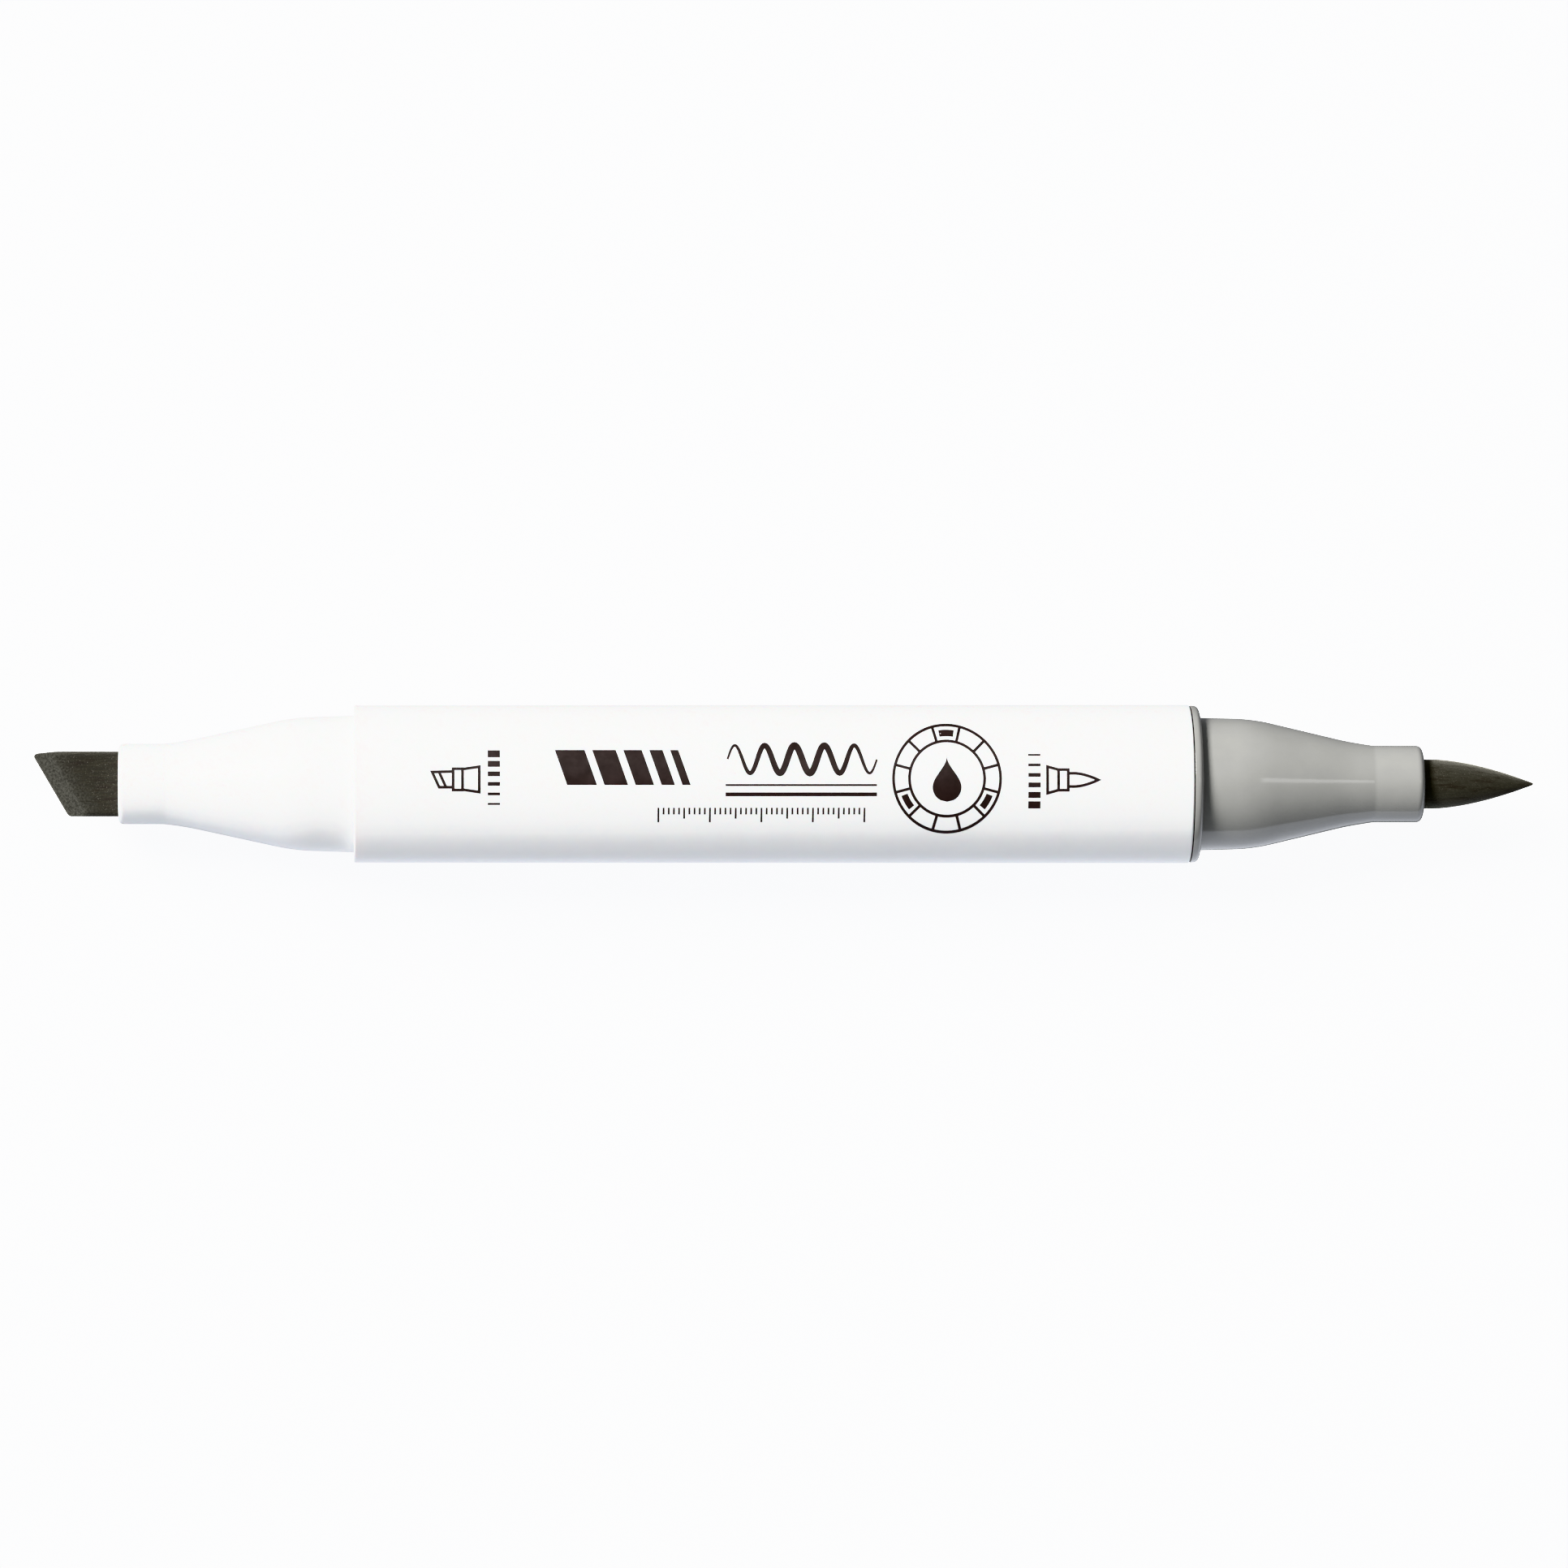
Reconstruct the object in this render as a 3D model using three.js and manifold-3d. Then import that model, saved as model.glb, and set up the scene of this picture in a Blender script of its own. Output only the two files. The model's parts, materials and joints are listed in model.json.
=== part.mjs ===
// Double-ended felt tip marker, uncapped: a chisel nib at one end and a brush nib at the other.
// Millimetres. +X runs along the marker towards the brush nib, +Z is up. The marker lies on its
// side, with the origin on the barrel's axis, half way between the two nib tips.
import * as THREE from "three";
import { mergeVertices } from "three/addons/utils/BufferGeometryUtils.js";
import Module from "manifold-3d";

const wasm = await Module();
wasm.setup();

// ---- Driving dimensions ----

const LENGTH = 146.6; // tip to tip
const FACETS = 48; // sides of every round part; one side faces straight down
const FIT_GAP = 0.05; // between round pieces pressed into each other
const SEAT_GAP = 0.1; // between faces that touch end to end

const BARREL_START = -42.1; // the shoulder round the chisel nozzle
const BARREL_END = 39.5;
const BARREL_START_RADIUS = 7.68;
const BARREL_END_RADIUS = 7.75; // mould draft: the open end is the wider one
const BARREL_EDGE = 0.22;
const WALL = 1.3;

// Nozzles are measured outwards from the shoulder or collar that a cap stops against.
const CHISEL_NOZZLE = {
  rootRadius: 6.68,
  flare: { at: 5.8, radius: 6.5, round: 1.8 },
  neckCurve: { at: 16.7, radius: 4.13, round: 1.7 },
  neck: { at: 18.5, radius: 3.94 },
  length: 22.9,
  rim: { along: 0.55, across: 0.6 },
  cavity: { radius: 5.25, taperStart: 4.6, end: 15.4, endRadius: 2.4 }, // behind the nib's slot
};
const BRUSH_NOZZLE = {
  rootRadius: 6.5,
  flare: { at: 5.3, radius: 6.37, round: 1.9 },
  neckCurve: { at: 14.6, radius: 4.16, round: 1.3 },
  neck: { at: 17.1, radius: 3.77 },
  length: 22,
  rim: { along: 0.55, across: 1 },
  bore: { radius: 2.65, start: 14.2, funnelStart: 4.2 },
};

const COLLAR = { width: 0.9, seamRadius: 7.7, radius: 7.64, roundAlong: 0.55, roundAcross: 0.8 };
const SPIGOT = { length: 7.5, wall: 1.2, leadIn: 0.5 };

const CHISEL_WIDTH = 6.35;
const CHISEL_THICKNESS = 3.2;
const CHISEL_LENGTH = 40;
const CHISEL_SLANT = THREE.MathUtils.degToRad(30.3); // writing edge, from square across
const CHISEL_BEVEL = { width: 1.75, edgeThickness: 0.9 };
const CHISEL_LONG_EDGE = 0.35; // flats on the four long edges
const CHISEL_CORNER = 0.28; // flat ground on the long point of the writing edge
const CHISEL_TOP_TAPER = { length: 2.2, depth: 0.2 };
const CHISEL_REAR = 1.4;
const CHISEL_SLIDE_GAP = 0.06;

const BRUSH_RADIUS = 2.42;
const BRUSH_LENGTH = 47.5;
const BRUSH_POINT = 9.45; // length of the tapering head
const BRUSH_BULGE = { at: 0.43, radius: 2.16 }; // pulls the taper outwards
const BRUSH_TIP_RADIUS = 0.12;
const BRUSH_REAR = 1.0;

const RESERVOIR_RADIUS = 5.85; // outside of the film
const RESERVOIR_FILM = 0.15;
const RESERVOIR_STOP = -40.0; // step inside the barrel that the reservoir rests against
const SOCKET_GAP = 0.1; // round a nib's buried end

const RIBS = { count: 6, width: 0.8, length: 68, root: 0.65 }; // root: depth into the wall
const NIB_RIBS = { count: 6, width: 0.5, length: 9, root: 0.3 };
const CUT_MARGIN = 1; // cutting shapes start this far outside the piece

const CURVE_STEPS = 5;

const MATERIALS = {
  whitePlastic: new THREE.MeshStandardMaterial({ color: 0xf4f4f3, roughness: 0.35, metalness: 0 }),
  greyPlastic: new THREE.MeshStandardMaterial({ color: 0xa9a9a5, roughness: 0.3, metalness: 0 }),
  chiselFelt: new THREE.MeshStandardMaterial({ color: 0x3c382d, roughness: 0.9, metalness: 0 }),
  brushFelt: new THREE.MeshStandardMaterial({ color: 0x37352a, roughness: 0.85, metalness: 0 }),
  reservoirFibre: new THREE.MeshStandardMaterial({ color: 0x2c2a23, roughness: 1, metalness: 0 }),
  film: new THREE.MeshStandardMaterial({ color: 0xd9dad6, roughness: 0.2, metalness: 0 }),
};

// ---- Places worked out from the dimensions ----

const CHISEL_TIP = -LENGTH / 2;
const BRUSH_TIP = LENGTH / 2;
const CHISEL_MOUTH = BARREL_START - CHISEL_NOZZLE.length;
const COLLAR_START = BARREL_END + FIT_GAP;
const COLLAR_FACE = COLLAR_START + COLLAR.width;
const BRUSH_MOUTH = COLLAR_FACE + BRUSH_NOZZLE.length;
const SPIGOT_END = BARREL_END - SPIGOT.length;
const BORE_START_RADIUS = BARREL_START_RADIUS - WALL;
const BORE_END_RADIUS = BARREL_END_RADIUS - WALL;
const RESERVOIR_START = RESERVOIR_STOP + SEAT_GAP;
const RESERVOIR_END = SPIGOT_END - SEAT_GAP;
const CORE_RADIUS = RESERVOIR_RADIUS - RESERVOIR_FILM - FIT_GAP;
const CHISEL_BACK = CHISEL_TIP + CHISEL_LENGTH;
const BRUSH_BACK = BRUSH_TIP - BRUSH_LENGTH;

// ---- Outlines ----

// An outline is a list of corners [along, across, before, after]. A corner with before and after
// is rounded by a curve that starts and ends those distances from it. Leaving them out keeps it
// sharp, and leaving out after makes it the same as before.
function tracePath(corners) {
  const path = new THREE.Path();
  const place = ([along, across]) => new THREE.Vector2(along, across);
  corners.forEach((corner, i) => {
    const here = place(corner);
    const last = place(corners.at(i - 1));
    const next = place(corners[(i + 1) % corners.length]);
    const [, , before = 0, after = before] = corner;
    const start = here.clone().add(last.sub(here).setLength(before));
    if (i === 0) path.moveTo(start.x, start.y);
    else path.lineTo(start.x, start.y);
    if (before === 0) return;
    const end = here.clone().add(next.sub(here).setLength(after));
    path.quadraticCurveTo(here.x, here.y, end.x, end.y);
  });
  return path.getPoints(CURVE_STEPS);
}

// The outside of a nozzle, from its root at x = base to its mouth, along -X or +X.
function nozzleCorners(nozzle, base, direction) {
  const at = (distance) => base + direction * distance;
  const { flare, neckCurve, neck, rim } = nozzle;
  return [
    [at(0), nozzle.rootRadius],
    [at(flare.at), flare.radius, flare.round],
    [at(neckCurve.at), neckCurve.radius, neckCurve.round],
    [at(neck.at), neck.radius],
    [at(nozzle.length), neck.radius, rim.along, rim.across],
    [at(nozzle.length), 0],
  ];
}

// ---- Solids ----

// Turns points (along, radius) round the X axis. They run from -X to +X along the outside.
function revolve(points) {
  const profile = points.map((point) => new THREE.Vector2(Math.max(point.y, 0), point.x));
  const lathe = new THREE.LatheGeometry(profile, FACETS, Math.PI / FACETS);
  return lathe.rotateZ(-Math.PI / 2);
}

function cylinderAlongX(radius, start, end) {
  return revolve(tracePath([[start, 0], [start, radius], [end, radius], [end, 0]]));
}

// A block from start to end along X, and from low to high away from the axis, turned to an angle.
function radialBlock(start, end, low, high, width, angle) {
  const block = new THREE.BoxGeometry(end - start, width, high - low);
  block.translate((start + end) / 2, 0, (low + high) / 2);
  return block.rotateX(angle);
}

function toSolid(geometry) {
  const bare = new THREE.BufferGeometry();
  bare.setAttribute("position", geometry.getAttribute("position"));
  bare.setIndex(geometry.getIndex());
  const merged = mergeVertices(bare);
  const corners = merged.getIndex().array;
  const triangles = [];
  for (let i = 0; i < corners.length; i += 3) {
    const [a, b, c] = corners.subarray(i, i + 3);
    if (a !== b && b !== c && c !== a) triangles.push(a, b, c);
  }
  return new wasm.Manifold(new wasm.Mesh({
    numProp: 3,
    vertProperties: new Float32Array(merged.getAttribute("position").array),
    triVerts: new Uint32Array(triangles),
  }));
}

function toGeometry(solid) {
  const mesh = solid.getMesh();
  const geometry = new THREE.BufferGeometry();
  geometry.setAttribute("position", new THREE.BufferAttribute(mesh.vertProperties, 3));
  geometry.setIndex(new THREE.BufferAttribute(mesh.triVerts, 1));
  geometry.computeVertexNormals();
  return geometry;
}

function boreRadiusAt(x) {
  return THREE.MathUtils.mapLinear(x, RESERVOIR_STOP, BARREL_END, BORE_START_RADIUS, BORE_END_RADIUS);
}

// Adds ribs on the inside of a round bore, evenly spaced, from low to high away from its axis.
function addRibs(solid, ribs, start, end, low, high) {
  let ribbed = solid;
  for (let i = 0; i < ribs.count; i += 1) {
    const angle = (i * 2 * Math.PI) / ribs.count;
    ribbed = ribbed.add(toSolid(radialBlock(start, end, low, high, ribs.width, angle)));
  }
  return ribbed;
}

// ---- Pieces ----

// Barrel and chisel nozzle are one moulding, open at the brush end. Ribs centre the reservoir.
function barrelGeometry() {
  const { cavity } = CHISEL_NOZZLE;
  const nozzleInside = [
    [RESERVOIR_STOP, cavity.radius],
    [BARREL_START - cavity.taperStart, cavity.radius],
    [BARREL_START - cavity.end, cavity.endRadius],
    [BARREL_START - cavity.end, 0],
  ];
  const outline = tracePath([
    ...nozzleCorners(CHISEL_NOZZLE, BARREL_START, -1).reverse(),
    [BARREL_START, BARREL_START_RADIUS, BARREL_EDGE],
    [BARREL_END, BARREL_END_RADIUS, BARREL_EDGE],
    [BARREL_END, BORE_END_RADIUS],
    [RESERVOIR_STOP, BORE_START_RADIUS],
    ...nozzleInside,
  ]);
  const slot = new THREE.BoxGeometry(
    CHISEL_NOZZLE.length,
    CHISEL_WIDTH + 2 * CHISEL_SLIDE_GAP,
    CHISEL_THICKNESS + 2 * CHISEL_SLIDE_GAP,
  );
  slot.translate(CHISEL_MOUTH + CHISEL_NOZZLE.length / 2 - CUT_MARGIN, 0, 0);
  const shell = toSolid(revolve(outline)).subtract(toSolid(slot));
  const start = RESERVOIR_STOP - RIBS.root;
  const end = RESERVOIR_STOP + RIBS.length;
  const foot = RESERVOIR_RADIUS + SEAT_GAP;
  return toGeometry(addRibs(shell, RIBS, start, end, foot, BORE_START_RADIUS + RIBS.root));
}

// The plug that closes the barrel: a spigot inside it, a rounded collar, and the brush nozzle.
function brushNozzleGeometry() {
  const { bore } = BRUSH_NOZZLE;
  const spigotRadius = boreRadiusAt(SPIGOT_END) - FIT_GAP;
  const insideRadius = spigotRadius - SPIGOT.wall;
  const outside = nozzleCorners(BRUSH_NOZZLE, COLLAR_FACE, 1);
  outside.pop();
  const outline = tracePath([
    [SPIGOT_END, insideRadius],
    [SPIGOT_END, spigotRadius, SPIGOT.leadIn],
    [COLLAR_START, spigotRadius],
    [COLLAR_START, COLLAR.seamRadius],
    [COLLAR_FACE, COLLAR.radius, COLLAR.roundAlong, COLLAR.roundAcross],
    ...outside,
    [BRUSH_MOUTH, bore.radius],
    [COLLAR_FACE + bore.start, bore.radius],
    [COLLAR_FACE + bore.funnelStart, insideRadius],
    [SPIGOT_END, insideRadius],
  ]);
  const shell = toSolid(revolve(outline));
  const start = BRUSH_MOUTH - NIB_RIBS.length;
  const end = BRUSH_MOUTH - BRUSH_NOZZLE.rim.along;
  const foot = BRUSH_RADIUS + FIT_GAP;
  return toGeometry(addRibs(shell, NIB_RIBS, start, end, foot, bore.radius + NIB_RIBS.root));
}

// Outline seen from above, as corners [x, y]: the long point of the writing edge is on +Y.
function chiselOutline() {
  const side = CHISEL_WIDTH / 2;
  const top = side - CHISEL_TOP_TAPER.depth;
  const setBack = (y) => CHISEL_TIP + (top - CHISEL_CORNER - y) * Math.tan(CHISEL_SLANT);
  return [
    [setBack(-side), -side, CHISEL_CORNER],
    [CHISEL_BACK - CHISEL_REAR, -side],
    [CHISEL_BACK, -side + CHISEL_REAR],
    [CHISEL_BACK, side - CHISEL_REAR],
    [CHISEL_BACK - CHISEL_REAR, side],
    [CHISEL_TIP + CHISEL_TOP_TAPER.length, side],
    [CHISEL_TIP + CHISEL_CORNER, top],
    [CHISEL_TIP, top - CHISEL_CORNER],
  ];
}

// The bevelled edge seen along the slanted writing edge, as a wedge that runs back past the nib.
function chiselWedge() {
  const half = CHISEL_THICKNESS / 2;
  const edge = CHISEL_BEVEL.edgeThickness / 2;
  const reach = CHISEL_LENGTH + CHISEL_WIDTH;
  const shape = new THREE.Shape([
    new THREE.Vector2(0, -edge),
    new THREE.Vector2(CHISEL_BEVEL.width, -half),
    new THREE.Vector2(reach, -half),
    new THREE.Vector2(reach, half),
    new THREE.Vector2(CHISEL_BEVEL.width, half),
    new THREE.Vector2(0, edge),
  ]);
  const width = 2 * reach;
  const wedge = new THREE.ExtrudeGeometry(shape, { depth: width, bevelEnabled: false });
  wedge.translate(0, 0, -width / 2);
  wedge.rotateX(Math.PI / 2);
  wedge.rotateZ(CHISEL_SLANT);
  const top = CHISEL_WIDTH / 2 - CHISEL_TOP_TAPER.depth - CHISEL_CORNER;
  return wedge.translate(CHISEL_TIP, top, 0);
}

// The nib's section across its length: a flat bar with its four long edges taken off.
function chiselBar() {
  const side = CHISEL_WIDTH / 2;
  const half = CHISEL_THICKNESS / 2;
  const cut = CHISEL_LONG_EDGE;
  const corners = [
    [side, half - cut], [side - cut, half], [cut - side, half], [-side, half - cut],
    [-side, cut - half], [cut - side, -half], [side - cut, -half], [side, cut - half],
  ];
  const shape = new THREE.Shape(corners.map(([y, z]) => new THREE.Vector2(y, z)));
  const length = CHISEL_LENGTH + 2 * CUT_MARGIN;
  const bar = new THREE.ExtrudeGeometry(shape, { depth: length, bevelEnabled: false });
  bar.rotateX(Math.PI / 2);
  bar.rotateZ(Math.PI / 2);
  return bar.translate(CHISEL_TIP - CUT_MARGIN, 0, 0);
}

function chiselNibGeometry() {
  const shape = new THREE.Shape(tracePath(chiselOutline()));
  const blank = new THREE.ExtrudeGeometry(shape, { depth: CHISEL_THICKNESS, bevelEnabled: false });
  blank.translate(0, 0, -CHISEL_THICKNESS / 2);
  const nib = toSolid(blank).intersect(toSolid(chiselWedge())).intersect(toSolid(chiselBar()));
  return toGeometry(nib);
}

function brushNibGeometry() {
  const shoulder = BRUSH_TIP - BRUSH_POINT;
  const path = new THREE.Path();
  path.moveTo(BRUSH_BACK, 0);
  path.lineTo(BRUSH_BACK, BRUSH_RADIUS - BRUSH_REAR);
  path.lineTo(BRUSH_BACK + BRUSH_REAR, BRUSH_RADIUS);
  path.lineTo(shoulder, BRUSH_RADIUS);
  path.quadraticCurveTo(
    shoulder + BRUSH_BULGE.at * BRUSH_POINT,
    BRUSH_BULGE.radius,
    BRUSH_TIP,
    BRUSH_TIP_RADIUS,
  );
  path.lineTo(BRUSH_TIP, 0);
  return revolve(path.getPoints(2 * CURVE_STEPS));
}

// The fibre bundle that holds the ink, with a socket at each end where a nib is pushed in.
function reservoirCoreGeometry() {
  const core = toSolid(cylinderAlongX(CORE_RADIUS, RESERVOIR_START, RESERVOIR_END));
  const chiselDepth = CHISEL_BACK - RESERVOIR_START + SOCKET_GAP;
  const chiselSocket = new THREE.BoxGeometry(
    2 * chiselDepth,
    CHISEL_WIDTH + 2 * SOCKET_GAP,
    CHISEL_THICKNESS + 2 * SOCKET_GAP,
  );
  chiselSocket.translate(RESERVOIR_START, 0, 0);
  const brushSocket = cylinderAlongX(
    BRUSH_RADIUS + SOCKET_GAP,
    BRUSH_BACK - SOCKET_GAP,
    RESERVOIR_END + CUT_MARGIN,
  );
  return toGeometry(core.subtract(toSolid(chiselSocket)).subtract(toSolid(brushSocket)));
}

function reservoirFilmGeometry() {
  const inside = RESERVOIR_RADIUS - RESERVOIR_FILM;
  return revolve(tracePath([
    [RESERVOIR_START, inside],
    [RESERVOIR_START, RESERVOIR_RADIUS],
    [RESERVOIR_END, RESERVOIR_RADIUS],
    [RESERVOIR_END, inside],
    [RESERVOIR_START, inside],
  ]));
}

// ---- Assembly ----

const marker = new THREE.Group();

function addPiece(name, geometry, material) {
  const mesh = new THREE.Mesh(geometry, material.clone());
  mesh.name = name;
  marker.add(mesh);
}

addPiece("barrel", barrelGeometry(), MATERIALS.whitePlastic);
addPiece("brush_nozzle", brushNozzleGeometry(), MATERIALS.greyPlastic);
addPiece("chisel_nib", chiselNibGeometry(), MATERIALS.chiselFelt);
addPiece("brush_nib", brushNibGeometry(), MATERIALS.brushFelt);
addPiece("ink_reservoir", reservoirCoreGeometry(), MATERIALS.reservoirFibre);
addPiece("reservoir_film", reservoirFilmGeometry(), MATERIALS.film);

export default marker;
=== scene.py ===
"""Looks of a double-ended felt tip marker that lies on a pale table, seen from straight above.

The CAD frame gives every place: +X runs towards the brush nib, +Z is up, and the origin is on the
barrel's axis. Lengths are in metres, and MM turns millimetres into them.
"""
import json
import math

import bmesh
import bpy
from mathutils import Matrix, Vector, noise


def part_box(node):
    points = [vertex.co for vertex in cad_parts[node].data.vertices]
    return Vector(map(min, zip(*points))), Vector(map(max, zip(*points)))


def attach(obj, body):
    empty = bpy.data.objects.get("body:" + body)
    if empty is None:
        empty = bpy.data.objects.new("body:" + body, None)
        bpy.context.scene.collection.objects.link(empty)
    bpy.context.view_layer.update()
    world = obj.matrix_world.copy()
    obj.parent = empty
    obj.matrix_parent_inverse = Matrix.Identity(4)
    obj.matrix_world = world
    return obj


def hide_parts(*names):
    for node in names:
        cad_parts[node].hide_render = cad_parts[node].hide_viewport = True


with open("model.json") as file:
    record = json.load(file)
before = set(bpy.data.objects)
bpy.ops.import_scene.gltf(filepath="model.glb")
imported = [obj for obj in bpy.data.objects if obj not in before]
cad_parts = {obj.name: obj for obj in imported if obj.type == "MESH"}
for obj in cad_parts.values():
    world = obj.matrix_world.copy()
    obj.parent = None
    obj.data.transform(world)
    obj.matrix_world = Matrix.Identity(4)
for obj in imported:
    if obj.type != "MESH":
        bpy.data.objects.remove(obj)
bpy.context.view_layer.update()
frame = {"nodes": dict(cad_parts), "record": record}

MM = 0.001

# ---- Places taken from the frame ----

FACETS = 48  # sides of the CAD model's round parts
ROUND = 1 / math.cos(math.pi / FACETS)  # from a side's distance to a corner's
MOUNTS = {mount["name"]: Vector(mount["pos_m"]) for mount in frame["record"]["mounts"]}
BARREL_LOW, BARREL_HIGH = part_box("barrel")
PLUG_LOW, PLUG_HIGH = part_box("brush_nozzle")
BRUSH_LOW, BRUSH_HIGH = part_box("brush_nib")
CHISEL_LOW, CHISEL_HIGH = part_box("chisel_nib")
CORE_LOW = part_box("ink_reservoir")[0]
FILM_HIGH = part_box("reservoir_film")[1]

SHOULDER = MOUNTS["chisel_shoulder"].x
COLLAR_FACE = MOUNTS["collar_face"].x
BARREL_END = BARREL_HIGH.x
BARREL_RADIUS = BARREL_HIGH.z * ROUND  # at the open end, the widest place
PLUG_RADIUS = PLUG_HIGH.z * ROUND
BRUSH_RADIUS = BRUSH_HIGH.z * ROUND
FILM_RADIUS = FILM_HIGH.z * ROUND

# ---- Shape ----

SEGMENTS = 192  # round the axis
FELT_SEGMENTS = 144
CURVE_STEPS = 10
FELT_STEPS = 60  # along the brush nib's round bar, and again along its pointed head
SHARP = math.radians(32)

DRAFT = 0.07 * MM  # the barrel is this much thinner at its shoulder than at its open end
WALL = 1.3 * MM
BARREL_EDGE = 0.22 * MM

# Nozzles are measured outwards from the shoulder or collar that they stand on. Their flare, neck
# curve and neck are (distance, radius, reach of the rounding), and their rim is rounded by
# (along, across).
CHISEL_NOZZLE = {
    "root_radius": 6.68 * MM,
    "flare": (5.8 * MM, 6.5 * MM, 1.8 * MM),
    "neck_curve": (16.7 * MM, 4.13 * MM, 1.7 * MM),
    "neck": (18.5 * MM, 3.94 * MM, 0.2 * MM),
    "length": SHOULDER - BARREL_LOW.x,
    "rim": (0.55 * MM, 0.6 * MM),
}
BRUSH_NOZZLE = {
    "root_radius": 6.5 * MM,
    "flare": (5.3 * MM, 6.37 * MM, 1.9 * MM),
    "neck_curve": (14.6 * MM, 4.16 * MM, 1.3 * MM),
    "neck": (17.1 * MM, 3.77 * MM, 0.2 * MM),
    "length": PLUG_HIGH.x - COLLAR_FACE,
    "rim": (0.75 * MM, 1.1 * MM),
}
# The hollows behind the chisel nib's slot and behind the brush nozzle's mouth, measured likewise.
CAVITY = {"radius": 5.25 * MM, "taper_start": 4.6 * MM, "end": 15.4 * MM, "end_radius": 2.4 * MM}
BORE = {"radius": 2.65 * MM, "start": 14.2 * MM, "funnel_start": 4.2 * MM}

COLLAR = {
    "seam": 0.1 * MM,  # gap between the barrel's end and the collar
    "seam_radius": 7.7 * MM,
    "seam_edge": 0.06 * MM,
    "radius": 7.64 * MM,
    "round": (0.55 * MM, 0.8 * MM),
}
PLUG_WALL = 2.4 * MM
SPIGOT_LEAD_IN = 0.5 * MM

RIBS = {"count": 6, "width": 0.8 * MM, "length": 68 * MM, "root": 0.5 * MM}
NIB_RIBS = {"count": 6, "width": 0.5 * MM, "length": 9 * MM, "root": 0.3 * MM}

SLIDE_GAP = 0.06 * MM  # round the chisel nib in its slot
PRESS_GAP = 0.06 * MM  # between the spigot and the barrel
RIB_GAP = 0.04 * MM  # between the brush nib and the ribs that grip it
SEAT_GAP = 0.1 * MM  # round the reservoir and behind it
CUT_MARGIN = 1 * MM  # cutting shapes start this far outside the piece

CHISEL_SLANT = math.radians(30.3)  # the writing edge, from square across

BRUSH_TAPER = 9.45 * MM  # length of the pointed head
BRUSH_BULGE = {"at": 0.43, "radius": 2.16 * MM}  # pulls the taper outwards
BRUSH_TIP_RADIUS = 0.1 * MM
BRUSH_REAR = 1 * MM

# ---- Print ----

INK_PROUD = 0.012 * MM
INK_SUNK = 0.03 * MM
THIN_LINE = 0.28 * MM
LINE_WEIGHTS = (0.7, 0.6, 0.48, 0.38, 0.28, 0.19)  # mm
BLUNTEST_MITRE = 0.4  # keeps the outside of a sharp corner short
ARC_STEP = math.radians(4)


# ---- Meshes ----

def curve(start, pull, end, steps):
    """Points of a curve from start to end, both included, that bends towards pull."""
    points = []
    for i in range(steps + 1):
        t = i / steps
        points.append(start.lerp(pull, t).lerp(pull.lerp(end, t), t))
    return points


def trace(corners):
    """Points (along, radius) of an outline of corners (along, radius, before, after).

    A corner with before and after is rounded by a curve that starts and ends that far from it.
    Leaving out both keeps it sharp, and leaving out after makes it the same as before.
    """
    points = []
    for i, corner in enumerate(corners):
        here = Vector(corner[:2])
        before = corner[2] if len(corner) > 2 else 0
        after = corner[3] if len(corner) > 3 else before
        if not before:
            points.append(here)
            continue
        last = Vector(corners[i - 1][:2])
        following = Vector(corners[(i + 1) % len(corners)][:2])
        start = here + (last - here).normalized() * before
        end = here + (following - here).normalized() * after
        points += curve(start, here, end, CURVE_STEPS)
    return points


def nozzle_corners(nozzle, base, direction):
    """The outside of a nozzle, from its root at x = base to its mouth."""
    corners = [(base, nozzle["root_radius"])]
    for name in ("flare", "neck_curve", "neck"):
        distance, radius, rounding = nozzle[name]
        corners.append((base + direction * distance, radius, rounding))
    mouth = base + direction * nozzle["length"]
    corners.append((mouth, nozzle["neck"][1], *nozzle["rim"]))
    return corners


def new_object(name, bm):
    """Turns a bmesh into an object in the scene, with its faces looking outwards."""
    mesh = bpy.data.meshes.new(name)
    bmesh.ops.recalc_face_normals(bm, faces=bm.faces)
    bm.to_mesh(mesh)
    bm.free()
    piece = bpy.data.objects.new(name, mesh)
    bpy.context.scene.collection.objects.link(piece)
    return piece


def lathe(name, outline, segments=SEGMENTS, bulge=None):
    """Turns points (along, radius) round the X axis into one closed skin.

    The outline starts and ends on the axis, or closes on itself. bulge(x, angle) is added to the
    radius.
    """
    bm = bmesh.new()
    rings = []
    for x, radius in outline:
        if radius == 0:
            rings.append([bm.verts.new((x, 0, 0))])
            continue
        ring = []
        for i in range(segments):
            angle = 2 * math.pi * i / segments
            reach = radius + (bulge(x, angle) if bulge else 0)
            ring.append(bm.verts.new((x, reach * math.sin(angle), reach * math.cos(angle))))
        rings.append(ring)
    pairs = list(zip(rings, rings[1:]))
    if len(rings[0]) > 1:
        pairs.append((rings[-1], rings[0]))
    for a, b in pairs:
        join_rings(bm, a, b)
    return new_object(name, bm)


def join_rings(bm, a, b):
    """Faces between two rings of points, either of which may be a single point on the axis."""
    count = max(len(a), len(b))
    for i in range(count):
        j = (i + 1) % count
        if len(a) == 1:
            bm.faces.new((a[0], b[j], b[i]))
        elif len(b) == 1:
            bm.faces.new((a[i], a[j], b[0]))
        else:
            bm.faces.new((a[i], a[j], b[j], b[i]))


def block(name, low, high):
    """A box between its lowest and highest corners."""
    bm = bmesh.new()
    bmesh.ops.create_cube(bm, size=1)
    low, high = Vector(low), Vector(high)
    for vertex in bm.verts:
        vertex.co = Vector(a + (b - a) * (c + 0.5) for a, b, c in zip(low, high, vertex.co))
    return new_object(name, bm)


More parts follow.
